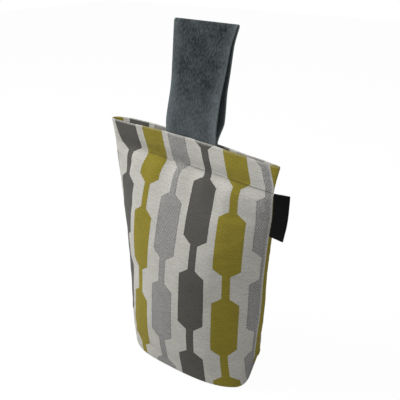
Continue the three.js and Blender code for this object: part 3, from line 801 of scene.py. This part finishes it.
# %% Relief and finish of the cotton
raised = add(tree, "MapRange", {0: slub, 3: 0.0, 4: 1.2})
for part, amount in ((plain, 0.35), (rib, 0.3), (printed, 0.7), (twilled, 0.8),
                     (grain, 1.0), (crease_line, -2.0)):
    raised = add(tree, "Math", {0: part, 1: amount, 2: raised}, operation="MULTIPLY_ADD")
shader.inputs["Roughness"].default_value = 0.92
shader.inputs["Specular IOR Level"].default_value = 0.2
shader.inputs["Sheen Weight"].default_value = 0.04
shader.inputs["Sheen Roughness"].default_value = 0.6
tree.links.new(add(tree, "Bump", {"Strength": 0.55, "Distance": 0.0003, "Height": raised}),
               shader.inputs["Normal"])
cover.data.materials.append(cotton)
print("woven cotton:", len(tree.nodes), "nodes")

# %% [markdown]
# ## The carrying loop
# A band of slate velvet folded over on itself, its two ends caught in the crease. A box
# bent into shape would lose the band's flat size, so it is a flat strip laid along a
# path: up the front leg, round a tight fold and down the back leg. The legs spread just
# above the bag, where the pressed ends open, and the band widens towards the fold.

# %% Where the loop leaves the bag
STRAP_RISE, STRAP_THICK = 98.0, 1.7
STRAP_SPREAD, STRAP_SPREAD_MIDDLE, STRAP_SPREAD_FOLD = 12.4, 8.4, 3.6
mouth = on_bag(True, 0.5 * PANEL, CLOTH_TOP)
mouth_line = 0.5 * (mouth.y + on_bag(False, 0.5 * PANEL, CLOTH_TOP).y)
slot_cloth = CLOTH_TOP - SLOT_DEPTH
slot_line = 0.5 * (on_bag(True, 0.5 * PANEL, slot_cloth).y
                   + on_bag(False, 0.5 * PANEL, slot_cloth).y)
strap_foot = on_bag(True, 0.5 * PANEL, slot_cloth, HEM).z + 0.3
fold_gap = 0.5 * STRAP_SPREAD_FOLD
fold_top = mouth.z + STRAP_RISE - 0.5 * STRAP_THICK - fold_gap
print("the band stands from", round(strap_foot, 1), "to", round(fold_top + fold_gap, 1), "mm")

# %% Path of the velvet band
LEG_STEPS, FOLD_STEPS = 34, 8
spread_height, middle_height = mouth.z + 0.16 * STRAP_RISE, mouth.z + 0.5 * STRAP_RISE
strap_spread = smooth_curve([(strap_foot, 2), (mouth.z - 1, 2), (spread_height, STRAP_SPREAD),
                             (middle_height, STRAP_SPREAD_MIDDLE),
                             (fold_top, STRAP_SPREAD_FOLD)])
back_share = smooth_curve([(strap_foot, 0.5), (mouth.z - 1, 0.5), (spread_height, 0.7),
                           (middle_height, 0.7), (fold_top, 0.5)])
leg = [strap_foot + (fold_top - strap_foot) * i / LEG_STEPS for i in range(LEG_STEPS + 1)]
path = [(up, -(1 - back_share(up)) * strap_spread(up)) for up in leg]
path += [(fold_top + fold_gap * math.sin(math.pi * i / FOLD_STEPS),
          -fold_gap * math.cos(math.pi * i / FOLD_STEPS)) for i in range(1, FOLD_STEPS)]
path += [(up, back_share(up) * strap_spread(up)) for up in reversed(leg)]
walked = [0.0]
for a, b in zip(path, path[1:]):
    walked.append(walked[-1] + math.dist(a, b))
band_length = walked[-1]
print("velvet band:", round(band_length), "mm long")

# %% [markdown]
# Across the band, the right edge is drawn in a little under the fold, as the photograph
# shows, and both edges curl back. The drawn edge is the scene's own form.

# %% A point of the band
STRAP_WIDTH, STRAP_TOP_WIDTH = 60.4, 70.3
STRAP_X, STRAP_LEAN_X, STRAP_LEAN_Y, STRAP_CURL = 6.6, 6.0, 14.8, 1.4
strap_draw = smooth_curve([(0, 0), (0.45, 2), (0.8, 2.8), (1, 0)])
strap_width = smooth_curve([(0, STRAP_WIDTH), (0.35, STRAP_WIDTH - 0.5),
                            (0.63, 0.6 * STRAP_WIDTH + 0.4 * STRAP_TOP_WIDTH),
                            (1, STRAP_TOP_WIDTH)])


def strap_point(t, step):
    """A point of the band: t runs from -1 to 1 across it, step counts along its path."""
    up, away = path[step]
    rise = min(1.0, max(0.0, (up - mouth.z) / STRAP_RISE))
    x = STRAP_X + STRAP_LEAN_X * rise + 0.5 * strap_width(rise) * t
    x -= strap_draw(rise) * max(0.0, t)
    sunk = min(1.0, max(0.0, (mouth.z - up) / SLOT_DEPTH))
    middle = mouth_line + sunk * (slot_line - mouth_line)
    curl = STRAP_CURL * math.sin(math.pi * rise) * t * t
    return Vector((x, middle + STRAP_LEAN_Y * rise + away + curl + math.tan(TWIST) * x, up))


print("right edge of the band's front foot:", strap_point(1, 0))

# %% Lay the band along its path
STRAP_ACROSS = 26
bm = bmesh.new()
band_uv = bm.loops.layers.uv.new("band")
made = bmesh.ops.create_grid(bm, x_segments=STRAP_ACROSS, y_segments=len(path) - 1, size=1)
places = {}
for vert in made["verts"]:
    t, step = vert.co.x, round(0.5 * (vert.co.y + 1) * (len(path) - 1))
    places[vert] = (0.5 * t * STRAP_WIDTH * MM, walked[step] * MM)
    vert.co = strap_point(t, step) * MM
for face in bm.faces:
    for loop in face.loops:
        loop[band_uv].uv = places[loop.vert]
strap_mesh = bpy.data.meshes.new("velvet_loop")
bm.to_mesh(strap_mesh)
bm.free()
strap = bpy.data.objects.new("velvet_loop", strap_mesh)
bpy.context.scene.collection.objects.link(strap)
strap_mesh.shade_smooth()
print("velvet loop:", len(strap_mesh.polygons), "faces before its thickness")

# %% [markdown]
# The band is two layers of velvet sewn and turned, so it is given one thickness with
# rounded edges. Modifiers do that and leave the flat strip, with its UV map, untouched.

# %% Thickness of the band
thick = strap.modifiers.new("two_layers", "SOLIDIFY")
thick.thickness = STRAP_THICK * MM
thick.offset = 0
rounded = strap.modifiers.new("turned_edges", "BEVEL")
rounded.width = 0.6 * MM
rounded.segments = 3
rounded.limit_method = "ANGLE"
print("band", STRAP_THICK, "mm thick, edges rounded by", round(rounded.width / MM, 1), "mm")

# %% [markdown]
# ## Velvet
# Cotton velvet is cut loops of yarn, a short dense pile. It turns lighter in soft patches
# where it was brushed the other way. Painted sheen makes it paler towards its sides, painted
# light makes its lower legs lighter and its fold darker, and a painted highlight runs along
# both edges.
# The pile is drawn about 1.7 mm coarse, since real pile is under 0.1 mm. Sheen gives the light
# that pile catches.

# %% Brushed pile
NAP, PILE = 0.06, 0.6
velvet, tree, shader = new_material("short_pile_velvet")
place = add(tree, "VectorMath", {0: add(tree, "UVMap", {}, uv_map="band"), 3: 1 / MM},
            operation="SCALE")
streaks = add(tree, "Mapping", {"Vector": place, "Scale": (1, 0.5, 1)})
nap = add(tree, "TexNoise", {"Vector": place, "Scale": NAP, "Detail": 3.0})
pile = add(tree, "TexNoise", {"Vector": streaks, "Scale": PILE, "Detail": 2.0,
                              "Roughness": 0.7})
pile_tone_and_painted_light = add(tree, "Math", {0: pile, 1: 1.1, 2: 0.1}, operation="MULTIPLY_ADD")
pile_tone_and_painted_light = add(tree, "Math", {0: nap, 1: 0.7, 2: pile_tone_and_painted_light}, operation="MULTIPLY_ADD")
print("nap patches about", round(1 / NAP), "mm, pile", round(1 / PILE, 1), "mm")

# %% Painted light on the feet and painted sheen on the sides
HALF_UP, HALF_ACROSS, SIDE = 0.5 * band_length, 0.5 * STRAP_WIDTH, 11
along_band = add(tree, "SeparateXYZ", {0: place})
from_foot = add(tree, "Math", {0: along_band.node.outputs[1], 1: HALF_UP},
                operation="PINGPONG")
# Painted light: the band is lighter towards its feet and darker towards the fold.
lower = add(tree, "MapRange", {0: from_foot, 1: 0.15 * HALF_UP, 2: 0.55 * HALF_UP, 3: 0.22,
                               4: -0.12})
off_middle = add(tree, "Math", {0: along_band}, operation="ABSOLUTE")
# Painted sheen: paler over the outer 11 mm of each side.
painted_side_sheen = add(tree, "MapRange", {0: off_middle, 1: HALF_ACROSS - SIDE, 2: HALF_ACROSS,
                                 3: 0.0, 4: 0.42})
for part in (lower, painted_side_sheen):
    pile_tone_and_painted_light = add(tree, "Math", {0: pile_tone_and_painted_light, 1: part}, operation="ADD")
print("sides lighter over", SIDE, "mm")

# %% Colour and finish of the velvet
blend = add(tree, "MapRange", {0: pile_tone_and_painted_light, 1: 0.7, 2: 1.6})
# The pile's own tone and the painted light and sheen run from dark to pale here.
pile_and_sheen_colour = add(tree, "Mix", {0: blend, 6: linear("#24292b"), 7: linear("#6e7679")},
                  output=2, data_type="RGBA")
# A painted highlight along both edges of the band.
painted_edge_highlight = add(tree, "MapRange", {0: off_middle, 1: HALF_ACROSS - 1.1, 2: HALF_ACROSS - 0.4,
                                 3: 0.0, 4: 0.55})
pile_and_sheen_colour = add(tree, "Mix", {0: painted_edge_highlight, 6: pile_and_sheen_colour, 7: linear("#8b9596")},
                  output=2, data_type="RGBA")
tree.links.new(pile_and_sheen_colour, shader.inputs["Base Color"])
shader.inputs["Roughness"].default_value = 0.95
shader.inputs["Specular IOR Level"].default_value = 0.1
shader.inputs["Sheen Weight"].default_value = 0.35
shader.inputs["Sheen Roughness"].default_value = 0.45
shader.inputs["Sheen Tint"].default_value = linear("#b0b8b8")
tree.links.new(add(tree, "Bump", {"Strength": 0.7, "Distance": 0.0006, "Height": pile}),
               shader.inputs["Normal"])
strap.data.materials.append(velvet)
print("short-pile velvet:", len(tree.nodes), "nodes")

# %% [markdown]
# ## The side tab
# Black satin tape folded double, its two ends caught in the right side seam. Its outer
# edge hangs a little lower, and it turns forward towards its lower end. That turn, the
# droop, its place on the seam and a millimetre of its width are the scene's own. It is
# one strip walked out along one ply, round the fold and back, so it stays a folded tape.
# It is left bare.

# %% Path across the tape
TAB_HEIGHT, TAB_WIDTH, TAB_THICK, TAB_DROOP = 44.0, 13.6, 1.0, 0.09
TAB_TOP_ANGLE, TAB_FOOT_ANGLE = 22, -3
tab_top = CREASE + 0.3
ply = 0.25 * TAB_THICK
straight = TAB_WIDTH - ply
tape = 2 * straight + math.pi * ply


def tape_point(walk):
    """How far out of the seam and how far aside the tape is after a walk along it."""
    if walk < straight:
        return walk, -ply
    if walk > tape - straight:
        return tape - walk, ply
    bend = (walk - straight) / ply
    return straight + ply * math.sin(bend), -ply * math.cos(bend)


print("tape:", round(tape, 1), "mm of", TAB_HEIGHT, "mm tape")

# %% Satin tab
TAB_STEPS, TAB_ROWS = 16, 12
bm = bmesh.new()
tab_uv = bm.loops.layers.uv.new("tape")
made = bmesh.ops.create_grid(bm, x_segments=TAB_STEPS, y_segments=TAB_ROWS, size=1)
places = {}
for vert in made["verts"]:
    t, walk = 0.5 * (vert.co.y + 1), 0.5 * (vert.co.x + 1) * tape
    root = on_bag(True, PANEL, cloth_at(tab_top - TAB_HEIGHT * t))
    angle = math.radians(TAB_TOP_ANGLE + (TAB_FOOT_ANGLE - TAB_TOP_ANGLE) * t)
    along = Vector((math.cos(angle), math.sin(angle), -TAB_DROOP))
    facing = Vector((-along.y, along.x, 0))
    out, aside = tape_point(walk)
    places[vert] = (walk * MM, t * TAB_HEIGHT * MM)
    vert.co = (root + along * max(out, 0.3) + facing * aside) * MM
for face in bm.faces:
    for loop in face.loops:
        loop[tab_uv].uv = places[loop.vert]
bmesh.ops.recalc_face_normals(bm, faces=bm.faces)
tab_mesh = bpy.data.meshes.new("satin_tab")
bm.to_mesh(tab_mesh)
bm.free()
tab = bpy.data.objects.new("satin_tab", tab_mesh)
bpy.context.scene.collection.objects.link(tab)
tab_mesh.shade_smooth()
thick = tab.modifiers.new("tape", "SOLIDIFY")
thick.thickness = 0.45 * MM
thick.offset = 0
print("satin tab:", len(tab_mesh.polygons), "faces")

# %% [markdown]
# Satin tape is woven with long smooth floats, so it is deep black with only a soft shine.
# Its weft ribs are 0.5 mm apart in fact and are drawn 1.6 mm apart to show at all.

# %% Satin material
SATIN_RIB = 1.6
satin, tree, shader = new_material("woven_black_satin")
parts = add(tree, "SeparateXYZ", {0: add(tree, "UVMap", {}, uv_map="tape")}, output=1)
weft = add(tree, "Math", {0: add(tree, "Math", {0: parts, 1: math.tau / (SATIN_RIB * MM)},
                                 operation="MULTIPLY")}, operation="SINE")
tone = add(tree, "MapRange", {0: weft, 1: -1.0, 2: 1.0})
tree.links.new(add(tree, "Mix", {0: tone, 6: linear("#050506"), 7: linear("#0b0b0d")},
                   output=2, data_type="RGBA"), shader.inputs["Base Color"])
shader.inputs["Roughness"].default_value = 0.6
shader.inputs["Specular IOR Level"].default_value = 0.08
tree.links.new(add(tree, "Bump", {"Strength": 0.3, "Distance": 0.0001, "Height": weft}),
               shader.inputs["Normal"])
tab.data.materials.append(satin)
print("satin ribs", SATIN_RIB, "mm apart")

# %% [markdown]
# ## The room
# The photograph was taken on white, under soft light. A white sheet lit until it looks
# white would also light the bag from below. So the floor glows only for the camera and
# for mirrored rays, and is a plain pale diffuse floor for the light. A small share of
# that floor is left in what the camera sees, and it keeps the bag's soft shadow.

# %% Floor
FLOOR_SIZE, FLOOR_GLOW, GLOW_SHARE = 3, 1.045, 0.92
bm = bmesh.new()
bmesh.ops.create_grid(bm, x_segments=1, y_segments=1, size=FLOOR_SIZE)
floor_mesh = bpy.data.meshes.new("floor")
bm.to_mesh(floor_mesh)
bm.free()
floor = bpy.data.objects.new("floor", floor_mesh)
bpy.context.scene.collection.objects.link(floor)
white = bpy.data.materials.new("white_floor")
white.use_nodes = True
tree = white.node_tree
tree.nodes.clear()
camera_ray = add(tree, "LightPath", {})
glossy_ray = camera_ray.node.outputs["Is Glossy Ray"]
paint = add(tree, "BsdfDiffuse", {"Color": linear("#dcdcdc")})
glow = add(tree, "Emission", {"Color": (1, 1, 1, 1), "Strength": FLOOR_GLOW})
plain_white = add(tree, "Math", {0: camera_ray, 1: glossy_ray}, operation="MAXIMUM")
share = add(tree, "Math", {0: plain_white, 1: GLOW_SHARE}, operation="MULTIPLY")
add(tree, "OutputMaterial", {0: add(tree, "MixShader", {0: share, 1: paint, 2: glow})})
floor.data.materials.append(white)
print("floor", 2 * FLOOR_SIZE, "m square")

# %% [markdown]
# The world is white for the camera and dimmer for the light. One large soft lamp stands
# high on the left and in front: the front is lit evenly, and the side by the tab falls
# into a mild shade, as in the photograph.

# %% World
WORLD_LIGHT, WORLD_SEEN = 0.33, 1.0
world = bpy.data.worlds.new("white_room")
bpy.context.scene.world = world
world.use_nodes = True
tree = world.node_tree
tree.nodes.clear()
camera_ray = add(tree, "LightPath", {})
glossy_ray = camera_ray.node.outputs["Is Glossy Ray"]
plain_white = add(tree, "Math", {0: camera_ray, 1: glossy_ray}, operation="MAXIMUM")
strength = add(tree, "MapRange", {0: plain_white, 3: WORLD_LIGHT, 4: WORLD_SEEN})
add(tree, "OutputWorld", {0: add(tree, "Background", {"Color": (1, 1, 1, 1),
                                                      "Strength": strength})})
print("the world gives", WORLD_LIGHT, "of full light")

# %% Lamp
LAMP_PLACE, LAMP_AIM = Vector((-0.8, -0.5, 1.2)), Vector((0, 0, 0.15))
light = bpy.data.lights.new("overhead", "AREA")
light.shape, light.size, light.energy = "DISK", 0.7, 14
lamp = bpy.data.objects.new("overhead", light)
bpy.context.scene.collection.objects.link(lamp)
lamp.location = LAMP_PLACE
lamp.rotation_euler = (LAMP_AIM - LAMP_PLACE).to_track_quat("-Z", "Y").to_euler()
bpy.context.scene.view_settings.view_transform = "Standard"
print("lamp", round((LAMP_AIM - LAMP_PLACE).length, 2), "m away,", light.energy, "W")

# %% [markdown]
# ## Attaching the pieces
# The bag is a padded cover, and the band and the tape are flat strips. Each piece rides on
# the part's one body and stands for the solid it replaces, which is hidden.

# %% Ride and replace
for piece, node, slot in ((cover, "weighted_bag", "printed_cloth"),
                          (strap, "carry_strap", "velvet"), (tab, "side_label", "satin")):
    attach(piece, "root")
    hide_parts(node)
